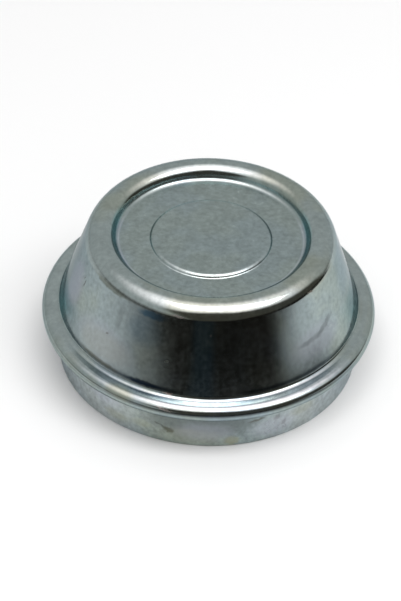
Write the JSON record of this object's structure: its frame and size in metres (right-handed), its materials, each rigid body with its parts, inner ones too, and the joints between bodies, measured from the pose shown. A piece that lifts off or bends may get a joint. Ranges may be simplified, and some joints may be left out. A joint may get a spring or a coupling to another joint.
{
  "type": "hub grease cap",
  "caption": "Drawn steel cap that is pressed into the end of a wheel hub to keep grease in and dirt out: sunk round top, flaring wall, folded stop flange and straight skirt.",
  "frame": {"origin": "centre of the skirt's rim, in the plane that the cap stands on", "axes": "+Z along the cap's axis of revolution, from the open rim to the closed top"},
  "size_m": [0.062, 0.062, 0.0284],
  "materials": {
    "zinc_plated_steel": "bright zinc plate with a clear bluish passivate, satin on the top panel and glossier on the drawn wall"
  },
  "bodies": {
    "root": {"grease_cap": "zinc_plated_steel"}
  },
  "joints": []
}
